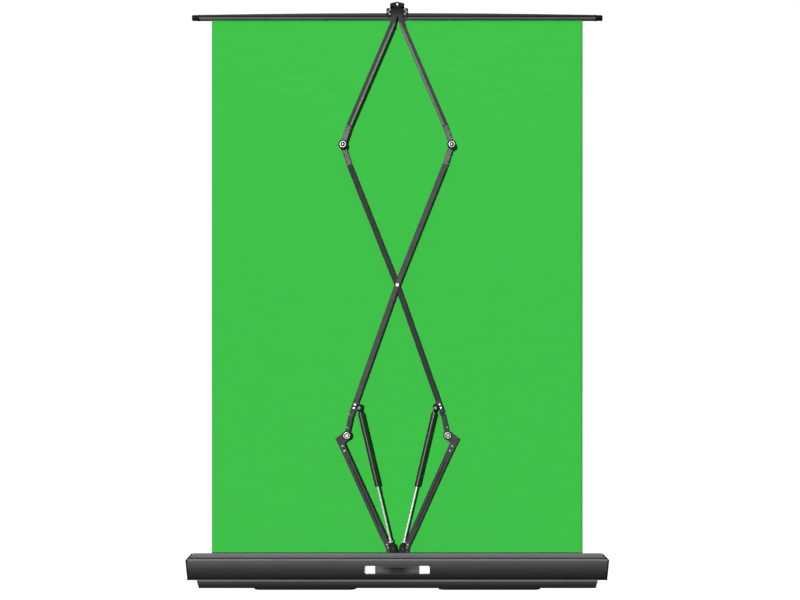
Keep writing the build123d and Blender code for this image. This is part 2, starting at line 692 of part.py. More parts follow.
def strut_rod(low, top):
    """Polished piston rod with its piston inside the cylinder."""
    with BuildPart() as rod:
        round_run(low, top, 66, CYLINDER_START + ROD_INSERTION - 66, ROD_RADIUS)
        round_run(low, top, CYLINDER_START + ROD_INSERTION - 10, 10, CYLINDER_RADIUS - 1.8)
    return rod.part


def strut_eye(low, top):
    """Moulded lower end fitting with its eye on the case stud, and the rod's lock ring."""
    with BuildPart() as eye:
        plate([(low, EYE_RADIUS), (along(low, top, 30), 12.5), (along(low, top, 48), 13)],
              STRUT_Y - EYE_DEPTH / 2, EYE_DEPTH)
        round_run(low, top, 56, 10, 6.5)
        pivot_hole(low, STUD_RADIUS + RUNNING_GAP)
    return eye.part


def strut_cylinder(low, top):
    """Cylinder tube, closed above and with a gland around the rod below."""
    with BuildPart() as cylinder:
        round_run(low, top, CYLINDER_START, CYLINDER_END - CYLINDER_START, CYLINDER_RADIUS)
        round_run(low, top, CYLINDER_START + GLAND_LENGTH,
                  CYLINDER_END - CYLINDER_START - GLAND_LENGTH - 5, CYLINDER_RADIUS - 1.5, Mode.SUBTRACT)
        round_run(low, top, CYLINDER_START, GLAND_LENGTH, ROD_RADIUS + RUNNING_GAP, Mode.SUBTRACT)
    return cylinder.part


def strut_socket(low, top, bar_y):
    """Ball socket at the cylinder's upper end, with the stud that reaches back to the long bar."""
    with BuildPart() as socket:
        disc(top, 11.5, STRUT_Y - 7, STRUT_Y + 7)
        round_run(low, top, CYLINDER_END, STRUT_LENGTH - CYLINDER_END, 6.2)
        disc(top, STUD_RADIUS, STRUT_Y - 9, bar_y - STRUT_PLATE - STUD_GAP)
        disc(top, 7, bar_y - STRUT_PLATE - STUD_GAP - 1.5, bar_y - STRUT_PLATE - STUD_GAP)
    return socket.part


for side, mirror, bar_y in (("left", same, LONG_BAR_A_Y), ("right", mirrored, LONG_BAR_B_Y)):
    low, top = mirror(STRUT_LOW), mirror(STRUT_TOP)
    write(strut_rod(low, top), f"strut_rod_{side}")
    write(strut_eye(low, top), f"strut_eye_{side}")
    write(strut_cylinder(low, top), f"strut_cylinder_{side}")
    write(strut_socket(low, top, bar_y), f"strut_socket_{side}")

# ======================= top rail and hub =======================

RAIL_MID_Y = (RAIL_FRONT + RAIL_REAR) / 2
HUB_PLATE_Y = 14.0
HUB_SCREWS = ((30, 2280), (30, 2262), (36, 2271))

with BuildPart() as top_rail:
    profile([(RAIL_FRONT + 3, RAIL_BOTTOM), (RAIL_FRONT + 3, RAIL_BOTTOM + 6), (RAIL_FRONT, RAIL_BOTTOM + 6),
             (RAIL_FRONT, RAIL_SEAM), (RAIL_REAR, RAIL_SEAM), (RAIL_REAR, RAIL_BOTTOM)], RAIL_HALF)
    with BuildSketch(Plane.YZ):
        with Locations((RAIL_MID_Y, RAIL_SEAM - 4.5)):
            Rectangle(16, 5)
    extrude(amount=RAIL_HALF, both=True, mode=Mode.SUBTRACT)
write(top_rail.part, "top_rail")

with BuildPart() as rail_spine:
    with BuildSketch(front_plane(RAIL_FRONT + 1)):
        with BuildLine():
            crown = ThreePointArc((-RAIL_HALF, SPINE_END_TOP), (0, SPINE_MID_TOP), (RAIL_HALF, SPINE_END_TOP))
            Polyline(crown @ 0, (-RAIL_HALF, RAIL_SEAM), (RAIL_HALF, RAIL_SEAM), crown @ 1)
        make_face()
    extrude(amount=-(RAIL_REAR - RAIL_FRONT - 2))
    chamfer(rail_spine.edges().filter_by(GeomType.CIRCLE), 1.5)
write(rail_spine.part, "rail_spine")

RAIL_CAP_PLANE = Plane(origin=(0, RAIL_MID_Y, RAIL_SEAM - 4.5), x_dir=(0, 1, 0), z_dir=(1, 0, 0))

with BuildPart() as rail_end_caps:
    for side in (-1, 1):
        with BuildSketch(RAIL_CAP_PLANE.offset(side * RAIL_HALF)):
            Circle(13)
        extrude(amount=side * 5)
        with BuildSketch(RAIL_CAP_PLANE.offset(side * (RAIL_HALF + 5))):
            Circle(11.5)
        extrude(amount=side * (RAIL_CAP_LENGTH - 5))
    fillet(rail_end_caps.faces().sort_by(Axis.X)[0].edges(), 3)
    fillet(rail_end_caps.faces().sort_by(Axis.X)[-1].edges(), 3)
write(rail_end_caps.part, "rail_end_caps")

with BuildPart() as hub_block:
    with BuildSketch(front_plane(HUB_FRONT)):
        with BuildLine():
            shoulder = HUB_TOP - HUB_CROWN
            crown = ThreePointArc((-HUB_HALF, shoulder), (0, HUB_TOP), (HUB_HALF, shoulder))
            Polyline(crown @ 0, (-HUB_HALF, HUB_BOTTOM), (HUB_HALF, HUB_BOTTOM), crown @ 1)
        make_face()
    extrude(amount=-(RAIL_REAR - HUB_FRONT))
    fillet(hub_block.edges().filter_by(Axis.Z), 5)
    with Locations((0, RAIL_MID_Y, SPINE_MID_TOP + 0.2)):
        Box(40, RAIL_REAR - RAIL_FRONT, HUB_BOTTOM - SPINE_MID_TOP,
            align=(Align.CENTER, Align.CENTER, Align.MIN))
    with BuildSketch(Plane.XY.offset(HUB_BOTTOM - 1)):
        with GridLocations(4.8, 0, 10, 1):
            with Locations((0, HUB_FRONT)):
                Rectangle(2.4, 2.4)
    extrude(amount=HUB_TOP - HUB_CROWN - 2 - HUB_BOTTOM, mode=Mode.SUBTRACT)
    pivot_hole(TOP_PIVOT, TOP_PIN_RADIUS)
write(hub_block.part, "hub_block")

with BuildPart() as hub_plate:
    with BuildSketch(front_plane(HUB_PLATE_Y)):
        with Locations((0, (RAIL_BOTTOM + 8 + HUB_BOTTOM) / 2)):
            RectangleRounded(86, HUB_BOTTOM - RAIL_BOTTOM - 8.4, 6)
    extrude(amount=-(RAIL_FRONT - HUB_PLATE_Y))
write(hub_plate.part, "hub_plate")

with BuildPart() as hub_screws:
    for side in (-1, 1):
        for screw_x, screw_z in HUB_SCREWS:
            hexagon((side * screw_x, screw_z), 4.6, HUB_PLATE_Y - 2, HUB_PLATE_Y)
write(hub_screws.part, "hub_screws")

with BuildPart() as hub_pin:
    disc(TOP_PIVOT, TOP_PIN_RADIUS, ARM_Y - 0.8, RAIL_REAR)
    disc(TOP_PIVOT, 5.8, ARM_Y - 1.1, ARM_Y - 0.3)
write(hub_pin.part, "hub_pin")
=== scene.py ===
import json
import math

import bmesh
import bpy
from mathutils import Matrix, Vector


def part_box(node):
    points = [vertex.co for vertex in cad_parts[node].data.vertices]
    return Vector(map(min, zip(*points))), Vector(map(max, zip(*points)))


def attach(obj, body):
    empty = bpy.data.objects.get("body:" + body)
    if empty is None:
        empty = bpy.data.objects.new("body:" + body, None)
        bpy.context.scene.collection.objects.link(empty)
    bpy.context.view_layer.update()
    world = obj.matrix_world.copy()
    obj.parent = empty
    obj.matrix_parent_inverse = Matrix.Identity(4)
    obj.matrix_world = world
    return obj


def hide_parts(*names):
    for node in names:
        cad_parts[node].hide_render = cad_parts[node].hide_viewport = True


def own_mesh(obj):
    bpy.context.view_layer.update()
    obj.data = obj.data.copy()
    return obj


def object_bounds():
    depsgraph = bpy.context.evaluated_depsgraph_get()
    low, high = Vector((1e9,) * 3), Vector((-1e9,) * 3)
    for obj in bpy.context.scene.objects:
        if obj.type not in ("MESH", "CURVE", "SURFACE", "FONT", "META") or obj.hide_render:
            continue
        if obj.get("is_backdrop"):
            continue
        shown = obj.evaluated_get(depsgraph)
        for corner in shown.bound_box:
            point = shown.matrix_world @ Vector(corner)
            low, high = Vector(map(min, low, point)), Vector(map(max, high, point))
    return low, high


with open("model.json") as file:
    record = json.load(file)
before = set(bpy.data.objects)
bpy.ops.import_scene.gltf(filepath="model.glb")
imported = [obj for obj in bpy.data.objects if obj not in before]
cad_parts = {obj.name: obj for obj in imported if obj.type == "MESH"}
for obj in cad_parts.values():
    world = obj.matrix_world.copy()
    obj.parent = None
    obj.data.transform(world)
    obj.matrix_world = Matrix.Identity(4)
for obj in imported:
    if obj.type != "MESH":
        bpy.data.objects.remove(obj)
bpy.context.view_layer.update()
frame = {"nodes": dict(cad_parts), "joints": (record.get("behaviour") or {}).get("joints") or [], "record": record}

MM = 0.001
WELD = 0.000001
MIX_FIRST, MIX_SECOND, MIX_RESULT = 6, 7, 2     # a Mix node's colour sockets
COAT_ROUGHNESS = 0.12


# ======================= materials =======================

def blank_material(name):
    """A new node material, its Principled shader and the coordinates of the piece itself."""
    material = bpy.data.materials.new(name)
    material.use_nodes = True
    nodes, links = material.node_tree.nodes, material.node_tree.links
    shader = nodes["Principled BSDF"]
    coordinates = nodes.new("ShaderNodeTexCoord").outputs["Object"]
    return material, nodes, links, shader, coordinates


def stretched(nodes, links, coordinates, scale):
    """Coordinates scaled differently along each axis, for brushing, drawing lines and weave."""
    mapping = nodes.new("ShaderNodeMapping")
    mapping.inputs["Scale"].default_value = scale
    links.new(coordinates, mapping.inputs["Vector"])
    return mapping.outputs["Vector"]


def noise(nodes, links, vector, scale, detail=3.0, roughness=0.55):
    """A noise texture's grey output."""
    texture = nodes.new("ShaderNodeTexNoise")
    texture.inputs["Scale"].default_value = scale
    texture.inputs["Detail"].default_value = detail
    texture.inputs["Roughness"].default_value = roughness
    links.new(vector, texture.inputs["Vector"])
    return texture.outputs["Fac"]


def ranged(nodes, links, value, low, high, start=0.3, stop=0.7):
    """A grey value spread over low to high."""
    spread = nodes.new("ShaderNodeMapRange")
    spread.inputs["From Min"].default_value = start
    spread.inputs["From Max"].default_value = stop
    spread.inputs["To Min"].default_value = low
    spread.inputs["To Max"].default_value = high
    links.new(value, spread.inputs["Value"])
    return spread.outputs["Result"]


def two_tone(nodes, links, value, dark, light, start=0.3, stop=0.7):
    """A colour that goes from dark to light as the value rises."""
    ramp = nodes.new("ShaderNodeValToRGB")
    ramp.color_ramp.elements[0].position = start
    ramp.color_ramp.elements[1].position = stop
    ramp.color_ramp.elements[0].color = (*dark, 1)
    ramp.color_ramp.elements[1].color = (*light, 1)
    links.new(value, ramp.inputs["Fac"])
    return ramp.outputs["Color"]


def bumped(nodes, links, shader, height, strength, depth):
    """A bump on the shader, depth in metres."""
    bump = nodes.new("ShaderNodeBump")
    bump.inputs["Strength"].default_value = strength
    bump.inputs["Distance"].default_value = depth
    links.new(height, bump.inputs["Height"])
    links.new(bump.outputs["Normal"], shader.inputs["Normal"])


def shade(colour, factor):
    """A colour made lighter or darker."""
    return tuple(min(1.0, c * factor) for c in colour)


def grey(level):
    """A neutral colour."""
    return (level, level, level)


def from_middle(nodes, links, coordinates):
    """How far a point lies to either side of the object's middle."""
    axes = nodes.new("ShaderNodeSeparateXYZ")
    links.new(coordinates, axes.inputs["Vector"])
    sideways = nodes.new("ShaderNodeMath")
    sideways.operation = "ABSOLUTE"
    links.new(axes.outputs["X"], sideways.inputs[0])
    return sideways.outputs["Value"]


def finish(name, colour, roughness, metallic=0.0, spread=0.18, grain=900.0, stretch=(1, 1, 1),
           depth=0.00005, strength=0.3, coat=0.0, specular=0.05):
    """One surface finish: cloudy colour variation, uneven roughness and a fine grain in relief."""
    material, nodes, links, shader, coordinates = blank_material(name)
    shader.inputs["Metallic"].default_value = metallic
    shader.inputs["Specular IOR Level"].default_value = specular
    shader.inputs["Coat Weight"].default_value = coat
    shader.inputs["Coat Roughness"].default_value = COAT_ROUGHNESS
    cloud = noise(nodes, links, coordinates, 22.0, 4.0)
    fine = noise(nodes, links, stretched(nodes, links, coordinates, stretch), grain, 2.0)
    tone = two_tone(nodes, links, cloud, shade(colour, 1 - spread), shade(colour, 1 + spread))
    links.new(tone, shader.inputs["Base Color"])
    worn = ranged(nodes, links, fine, roughness * 0.82, min(1.0, roughness * 1.2))
    links.new(worn, shader.inputs["Roughness"])
    bumped(nodes, links, shader, fine, strength, depth)
    return material


def height_ramp(nodes, links, coordinates, levels):
    """A colour that changes up the object: (height in mm, grey) from the lowest to the highest."""
    axes = nodes.new("ShaderNodeSeparateXYZ")
    links.new(coordinates, axes.inputs["Vector"])
    lowest, highest = levels[0][0] * MM, levels[-1][0] * MM
    height = ranged(nodes, links, axes.outputs["Z"], 0.0, 1.0, lowest, highest)
    ramp = nodes.new("ShaderNodeValToRGB")
    stops = ramp.color_ramp.elements
    for index, (level, ramp_grey) in enumerate(levels):
        stop = stops[index] if index < 2 else stops.new(1.0)
        stop.position = (level * MM - lowest) / (highest - lowest)
        stop.color = (ramp_grey, ramp_grey, ramp_grey * COOL_TINT, 1)
    links.new(height, ramp.inputs["Fac"])
    return ramp.outputs["Color"]


def multiplied(nodes, links, first, second):
    """One colour multiplied by another."""
    product = nodes.new("ShaderNodeMix")
    product.data_type = "RGBA"
    product.blend_type = "MULTIPLY"
    product.inputs["Factor"].default_value = 1.0
    links.new(first, product.inputs[MIX_FIRST])
    links.new(second, product.inputs[MIX_SECOND])
    return product.outputs[MIX_RESULT]


def anodised_extrusion(name, levels, roughness):
    """Satin anodised extrusion with die lines along X; a ramp up its height paints light and shade onto its
    colour.
    """
    material, nodes, links, shader, coordinates = blank_material(name)
    shader.inputs["Metallic"].default_value = 0.25
    shader.inputs["Specular IOR Level"].default_value = 0.05
    lines = noise(nodes, links, stretched(nodes, links, coordinates, (0.6, 260, 260)), 5.0, 3.0)
    cloud = noise(nodes, links, stretched(nodes, links, coordinates, (1.0, 3, 3)), 3.0, 3.0)
    # painted light and shade from the height ramp, times the extrusion's own patchy tone
    ramp_grey = height_ramp(nodes, links, coordinates, levels)
    patches = two_tone(nodes, links, cloud, grey(0.94), grey(1.06))
    links.new(multiplied(nodes, links, ramp_grey, patches), shader.inputs["Base Color"])
    links.new(ranged(nodes, links, lines, roughness * 0.85, roughness * 1.15),
              shader.inputs["Roughness"])
    bumped(nodes, links, shader, lines, 0.25, 0.00004)
    return material


def woven_cloth(name, colour):
    """Matt woven polyester: warp and weft threads in relief, faint slub and soft sheen."""
    material, nodes, links, shader, coordinates = blank_material(name)
    shader.inputs["Sheen Weight"].default_value = 0.12
    shader.inputs["Sheen Roughness"].default_value = 0.6
    shader.inputs["Specular IOR Level"].default_value = 0.15
    threads = []
    for direction in "XZ":
        wave = nodes.new("ShaderNodeTexWave")
        wave.wave_type = "BANDS"
        wave.bands_direction = direction
        wave.inputs["Scale"].default_value = THREADS / (2 * math.pi)
        wave.inputs["Distortion"].default_value = 0.6
        wave.inputs["Detail"].default_value = 1.0
        links.new(coordinates, wave.inputs["Vector"])
        threads.append(wave.outputs["Fac"])
    weave = nodes.new("ShaderNodeMath")
    weave.operation = "MAXIMUM"
    links.new(threads[0], weave.inputs[0])
    links.new(threads[1], weave.inputs[1])
    slub = noise(nodes, links, stretched(nodes, links, coordinates, (3, 3, 90)), 2.0, 3.0)
    tone = two_tone(nodes, links, slub, shade(colour, 0.965), shade(colour, 1.03), 0.35, 0.65)
    links.new(tone, shader.inputs["Base Color"])
    links.new(ranged(nodes, links, slub, 0.80, 0.92), shader.inputs["Roughness"])
    bumped(nodes, links, shader, weave.outputs["Value"], 0.25, 0.00012)
    return material


def ribbed_rubber(name, colour):
    """Soft black grip with a fine pebbled skin, darkened in its middle by painted shade so that its ends read
    paler, as if lit.
    """
    material, nodes, links, shader, coordinates = blank_material(name)
    shader.inputs["Specular IOR Level"].default_value = 0.1
    cells = nodes.new("ShaderNodeTexVoronoi")
    cells.inputs["Scale"].default_value = 900.0
    links.new(coordinates, cells.inputs["Vector"])
    cloud = noise(nodes, links, coordinates, 40.0)
    tone = two_tone(nodes, links, cloud, shade(colour, 0.85), shade(colour, 1.2))
    # painted shade on the middle of the grip, leaving its ends paler
    bend = ranged(nodes, links, from_middle(nodes, links, coordinates), 0.0, 1.0, *STRAP_PAINTED_SHADE)
    painted_shade = two_tone(nodes, links, bend, grey(0.14), grey(1), 0.0, 1.0)
    links.new(multiplied(nodes, links, tone, painted_shade), shader.inputs["Base Color"])
    links.new(ranged(nodes, links, cloud, 0.48, 0.62), shader.inputs["Roughness"])
    bumped(nodes, links, shader, cells.outputs["Distance"], 0.35, 0.00015)
    return material


def recess_moulding(name, white, black, half_black):
    """White moulded recess whose floor behind the carrying strap is black."""
    material, nodes, links, shader, coordinates = blank_material(name)
    edge = ranged(nodes, links, from_middle(nodes, links, coordinates), 0.0, 1.0,
                  half_black, half_black + MM)
    cloud = noise(nodes, links, coordinates, 60.0)
    clouding = two_tone(nodes, links, cloud, grey(0.97), grey(1))
    tone = two_tone(nodes, links, edge, black, white, 0.4, 0.6)
    links.new(multiplied(nodes, links, tone, clouding), shader.inputs["Base Color"])
    links.new(ranged(nodes, links, cloud, 0.35, 0.45), shader.inputs["Roughness"])
    bumped(nodes, links, shader, cloud, 0.2, 0.00003)
    return material


def faded(material, levels):
    """The finish darkened by a ramp up the object's height."""
    nodes, links = material.node_tree.nodes, material.node_tree.links
    shader = nodes["Principled BSDF"]
    coordinates = nodes["Texture Coordinate"].outputs["Object"]
    tone = shader.inputs["Base Color"].links[0].from_socket
    links.new(multiplied(nodes, links, tone, height_ramp(nodes, links, coordinates, levels)),
              shader.inputs["Base Color"])
    return material


def brushed_metal(name, colour, roughness, direction):
    """Turned or brushed bright metal with fine lines along one direction."""
    stretch = tuple(0.04 if axis == direction else 1.0 for axis in "XYZ")
    return finish(name, colour, roughness, 1.0, 0.08, 1800.0, stretch, 0.00002, 0.25)


def arm_coat(name, colour):
    """The satin coat of the flat steel arms and bars."""
    return finish(name, colour, 0.5, 0.1, 0.16, 1600, depth=0.00006)


COOL_TINT = 1.03                # how much bluer than grey the greys of a height ramp are
THREADS = 1400.0                # which gives a thread every 1.4 mm
STRAP_PAINTED_SHADE = (0.020, 0.078)     # from the middle, where the grip's painted shade starts to fade and where it has faded out
RECESS_BLACK = 0.086            # from the middle, where the recess's black floor ends
CLOTH_GREEN = (0.042, 0.515, 0.058)
# (height in mm, grey) up the case's front, its plinth included: painted light and shade, lighter on the top facet,
# painted shade darkening the front towards the bottom, a painted highlight along the front's top edge with painted
# shade in the seam above it, a painted shadow line along the front panel's lower edge and a painted highlight on
# the plinth's top edge
CASE_PAINTED_SHADING = [
    (12, 0.009), (26, 0.024), (31, 0.042), (34.5, 0.024), (37, 0.20), (40, 0.30), (42.6, 0.110),
    (45.2, 0.001), (47.5, 0.001), (50.5, 0.009), (78, 0.026), (105, 0.060), (117, 0.088),
    (120.4, 0.360), (122.0, 0.240), (123.4, 0.012), (125.4, 0.020), (127.5, 0.120), (139, 0.205),
    (146, 0.200)]
# (height in mm, grey) up the top rail: painted highlight bands where its rounded faces would catch light, and
# painted shade in its grooves
RAIL_PAINTED_SHADING = [
    (2236, 0.010), (2242, 0.014), (2244.5, 0.090), (2249, 0.080), (2251.5, 0.006),
    (2255.5, 0.006), (2258.5, 0.036), (2262, 0.032), (2268, 0.045)]
# (height in mm, share of the colour that is left) where a finish gets darker
# painted shade: the upper arms grow darker up towards the hub, whose cap shades their tops
UPPER_ARM_PAINTED_SHADE = [(2190, 1.0), (2245, 0.75), (2262, 0.35), (2275, 0.10), (2310, 0.05)]
# the rivets are darker below 695 mm
RIVET_DARKER_BELOW = [(650, 0.20), (694, 0.20), (696, 1.0), (2310, 1.0)]
MATERIALS = {
    # the case's and the tray's height ramp paints light and shade onto them
    "case_aluminium": anodised_extrusion("case_anodised_painted_shading", CASE_PAINTED_SHADING, 0.58),
    "tray_steel": anodised_extrusion("tray_coat_painted_shading", CASE_PAINTED_SHADING, 0.6),
    "end_cap_plastic": finish("end_cap_nylon", (0.004, 0.004, 0.004), 0.5, depth=0.0001,
                              grain=1100, specular=0.03),
    "case_screw_steel": brushed_metal("blackened_screw", (0.10, 0.10, 0.11), 0.38, "X"),
    "recess_plastic": recess_moulding("white_recess", (0.93, 0.93, 0.93), (0.006, 0.006, 0.006),
                                      RECESS_BLACK),
    "strap_rubber": ribbed_rubber("strap_grip", (0.105, 0.105, 0.107)),
    "bracket_steel": finish("gunmetal_plate", (0.128, 0.115, 0.123), 0.5, 0.15, 0.14, 1500),
    "dark_bracket_steel": finish("dark_pressing", (0.050, 0.048, 0.052), 0.5, 0.1, 0.2, 1500),
    "arm_steel": arm_coat("satin_arm_coat", (0.052, 0.050, 0.053)),
    "pin_steel": brushed_metal("polished_bolt", (0.17, 0.17, 0.178), 0.38, "Y"),
    "rivet_steel": faded(brushed_metal("bright_rivet", (0.60, 0.60, 0.62), 0.35, "Y"), RIVET_DARKER_BELOW),
    "rod_chrome": finish("hard_chrome", (0.64, 0.67, 0.67), 0.3, 0.35, 0.04, 1800.0,
                         (1, 1, 0.04), 0.00002, specular=0.5),
    "cylinder_paint": finish("gloss_black_cylinder", (0.018, 0.018, 0.019), 0.42, coat=0.08,
                             depth=0.00002, specular=0.6),
    "fitting_plastic": finish("black_fitting", (0.012, 0.012, 0.013), 0.4, depth=0.00008,
                              grain=1200),
    # painted highlight bands and painted shade in its grooves, from its height ramp
    "rail_aluminium": anodised_extrusion("dark_rail_painted_shading", RAIL_PAINTED_SHADING, 0.5),
    "hub_plastic": finish("hub_nylon", (0.007, 0.007, 0.008), 0.4, depth=0.00009, grain=1100),
    "roller_aluminium": brushed_metal("roller_tube_metal", (0.60, 0.60, 0.62), 0.35, "X"),
    "plug_plastic": finish("grey_plug", (0.07, 0.07, 0.075), 0.5),
    "spring_steel": brushed_metal("spring_wire", (0.35, 0.35, 0.37), 0.35, "X"),
    "foot_steel": finish("foot_powder_coat", (0.010, 0.010, 0.011), 0.55, depth=0.00012,
                         grain=1300),
    "cloth": woven_cloth("green_polyester", CLOTH_GREEN),
}
BLACK_RING = finish("black_washer", (0.010, 0.010, 0.011), 0.45, spread=0.2)
FRONT_BAR = arm_coat("front_bar_coat", (0.062, 0.059, 0.062))
REAR_BAR = arm_coat("rear_bar_coat", (0.030, 0.029, 0.031))
# painted shade darkens the upper arms near the hub
UPPER_ARM = faded(finish("upper_arm_coat_painted_shade", (0.047, 0.045, 0.048), 0.5, 0.1, 0.16, 1600),
                  UPPER_ARM_PAINTED_SHADE)
# painted highlight: a lighter strip along each upper arm's edge, darkened near the hub by the same painted shade
UPPER_EDGE_PAINTED_HIGHLIGHT = faded(finish("arm_edge_painted_highlight", (0.125, 0.118, 0.122), 0.45, 0.2, 0.16, 1600),
                   UPPER_ARM_PAINTED_SHADE)
# painted shade: a black strip on each lower arm standing for the shade in a groove along it
GROOVE_PAINTED_SHADE = finish("dark_flute", (0.010, 0.010, 0.011), 0.5)
DULL_STEEL = brushed_metal("dull_steel", (0.11, 0.11, 0.115), 0.42, "Y")
UPPER_CAP = brushed_metal("upper_knee_cap", (0.32, 0.32, 0.33), 0.38, "Y")
DULL_RIVET = brushed_metal("dull_rivet", (0.14, 0.14, 0.145), 0.42, "Y")
COLLAR = finish("satin_collar", (0.72, 0.72, 0.73), 0.45, 0.2, 0.08, 1500, specular=0.5)
HUB_BOLT = brushed_metal("hub_bolt", (0.07, 0.07, 0.073), 0.42, "Y")

SLOT_OF = {part["node"]: part["material_slot"] for part in frame["record"]["subparts"]}

for node, thing in frame["nodes"].items():
    thing.data.materials.clear()
    thing.data.materials.append(MATERIALS[SLOT_OF[node]])
SPECIAL = {"arm_rivets_left": DULL_RIVET, "arm_rivets_right": DULL_RIVET, "hub_screws": HUB_BOLT,
           "long_bar_a": FRONT_BAR, "long_bar_b": REAR_BAR, "upper_arm_left": UPPER_ARM,
           "upper_arm_right": UPPER_ARM, "base_bracket": MATERIALS["fitting_plastic"]}
for node, material in SPECIAL.items():
    frame["nodes"][node].data.materials[0] = material


# ======================= mesh helpers =======================

def mesh_piece(name, mesh_maker, slot_name, body, material=None, smooth=40):
    """An object from a mesh maker, with its finish, riding on a body."""
    mesh = bpy.data.meshes.new(name)
    shape = bmesh.new()
    mesh_maker(shape)
    bmesh.ops.recalc_face_normals(shape, faces=shape.faces)
    shape.to_mesh(mesh)
    shape.free()
    mesh.materials.append(material or MATERIALS[slot_name])
    piece = bpy.data.objects.new(name, mesh)
    bpy.context.scene.collection.objects.link(piece)
    mesh.shade_smooth()
    mesh.set_sharp_from_angle(angle=math.radians(smooth))
    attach(piece, body)
    return piece


def ring(shape, radius, middle, across, segments):
    """A ring of points in the plane of two directions, or one point where the radius is nought."""
    if radius == 0:
        return [shape.verts.new(middle)]
    turns = [2 * math.pi * k / segments for k in range(segments)]
    return [shape.verts.new(middle + radius * (math.cos(t) * across[0] + math.sin(t) * across[1]))
            for t in turns]


def joined(shape, first, second):
    """Faces between two rings, or a fan where one of them is a point."""
    if len(first) == 1 and len(second) == 1:
        return
    count = max(len(first), len(second))
    for k in range(count):
        after = (k + 1) % count
        corners = [first[k % len(first)], first[after % len(first)],
                   second[after % len(second)], second[k % len(second)]]
        shape.faces.new(list(dict.fromkeys(corners)))


BACKWARDS = Vector((0, 1, 0))


def turned(outline, origin, axis=BACKWARDS, segments=64):
    """A mesh maker for a piece turned on a lathe: (radius, distance along the axis), in mm."""
    side = Vector((0, 0, 1)) if abs(axis.y) > 0.5 else Vector((0, 1, 0))
    across = (axis.cross(side), side)

    def make(shape):
        rings = [ring(shape, radius * MM, origin + axis * distance * MM, across, segments)
                 for radius, distance in outline]
        for first, second in zip(rings, rings[1:]):
            joined(shape, first, second)
        bmesh.ops.remove_doubles(shape, verts=shape.verts, dist=WELD)
    return make


EDGE_SEGMENTS = 2
EDGE_ANGLE = math.radians(50)


def soften(piece, width):
    """Rounded edges, as every real stamping, moulding and extrusion has."""
    bevel = piece.modifiers.new("edge", "BEVEL")
    bevel.width = width * MM
    bevel.segments = EDGE_SEGMENTS
    bevel.limit_method = "ANGLE"
    bevel.angle_limit = EDGE_ANGLE
    bevel.harden_normals = True


# ======================= knee bolts =======================

# (radius, y) in mm, y from the front of the knee bolt's head towards the bar
UPPER_BUTTON = [(0, -1.5), (2.6, -1.4), (4.4, -0.9), (5.6, -0.2), (5.8, 0.3)]
UPPER_DOME = [(8.6, 0.2), (8.9, -0.5), (9.6, -0.8), (11.4, -0.6), (13.6, 0.3), (15.2, 1.6),
              (15.9, 3.1), (15.4, 3.2)]
LOWER_BUTTON = [(0, -0.9), (2.2, -0.9), (2.6, -0.4), (4.4, -0.4), (4.8, -1.0), (6.2, -1.0),
                (6.6, -0.3), (6.7, 0.3)]
LOWER_DOME = [(9.2, 0.2), (9.4, -0.4), (10.2, -0.6), (12.0, -0.4), (12.6, 0.4), (13.4, 0.5),
              (13.9, -0.1), (15.2, 0.4), (16.0, 1.6), (16.2, 3.1), (15.4, 3.2)]
GROOVE = [(5.4, -0.1), (9.4, -0.1), (9.4, 0.3), (5.4, 0.3), (5.4, -0.1)]


def head_middle(low, high):
    """The middle of the front of a bolt, from its lowest and highest corners."""
    return Vector(((low.x + high.x) / 2, low.y, (low.z + high.z) / 2))


def knee_trim(node, body, shapes):
    """The bright turned cap and its dark groove, seated on a knee bolt's blackened head."""
    seat = head_middle(*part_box(node))
    for part, (outline, material) in shapes.items():
        mesh_piece(f"{node}_{part}", turned(outline, seat), "pin_steel", body, material)
    frame["nodes"][node].data.materials[0] = BLACK_RING


UPPER_TRIM = {"button": (UPPER_BUTTON, UPPER_CAP), "dome": (UPPER_DOME, UPPER_CAP),
              "groove": (GROOVE, BLACK_RING)}
LOWER_TRIM = {"button": (LOWER_BUTTON, None), "dome": (LOWER_DOME, None),
              "groove": (GROOVE, BLACK_RING)}
for side in ("left", "right"):
    knee_trim(f"upper_knee_pin_{side}", f"{side}_upper_arm", UPPER_TRIM)
    knee_trim(f"lower_knee_pin_{side}", f"{side}_lower_arm", LOWER_TRIM)

HUB_BUTTON = [(0, -0.30), (2.2, -0.28), (4.0, -0.16), (4.7, 0.1), (4.6, 0.2)]
mesh_piece("hub_pin_button", turned(HUB_BUTTON, head_middle(*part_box("hub_pin"))), "pin_steel",
           "top", COLLAR)
frame["nodes"]["hub_pin"].data.materials[0] = BLACK_RING


# ======================= fluted arms =======================

# in mm: how proud a strip stands, how deep it is rooted, how wide its sloped edge is, and how
# far it stops from the bar's ends
FLUTE_RELIEF = 0.3
FLUTE_ROOT = 0.05
FLUTE_EDGE = 0.12
FLUTE_TRIM = 4.0
UPPER_BAR_SHARE = 0.84      # of the upper arm's height is straight bar, the rest is its eye
FIRST_STEP, LAST_STEP = math.pi / 40, 1e-5


def spread_across(points, turn):
    """How wide a set of (x, z) points is across a direction, and where its middle lies."""
    across = [z * math.cos(turn) - x * math.sin(turn) for x, z in points]
    return max(across) - min(across), (max(across) + min(across)) / 2


def bar_section(node, share):
    """The middle, direction and half length of a bar, which is the lowest share of its node."""
    low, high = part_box(node)
    limit = low.z + (high.z - low.z) * share
    points = [(v.co.x, v.co.z) for v in frame["nodes"][node].data.vertices if v.co.z <= limit]
    turn, step = math.pi / 2, FIRST_STEP
    while step > LAST_STEP:
        turn = min((turn + k * step for k in range(-20, 21)),
                   key=lambda t: spread_across(points, t)[0])
        step /= 10
    direction = Vector((math.cos(turn), 0, math.sin(turn)))
    side = Vector((-math.sin(turn), 0, math.cos(turn)))
    reach = [x * direction.x + z * direction.z for x, z in points]
    middle = direction * (max(reach) + min(reach)) / 2 + side * spread_across(points, turn)[1]
    return middle, direction, (max(reach) - min(reach)) / 2


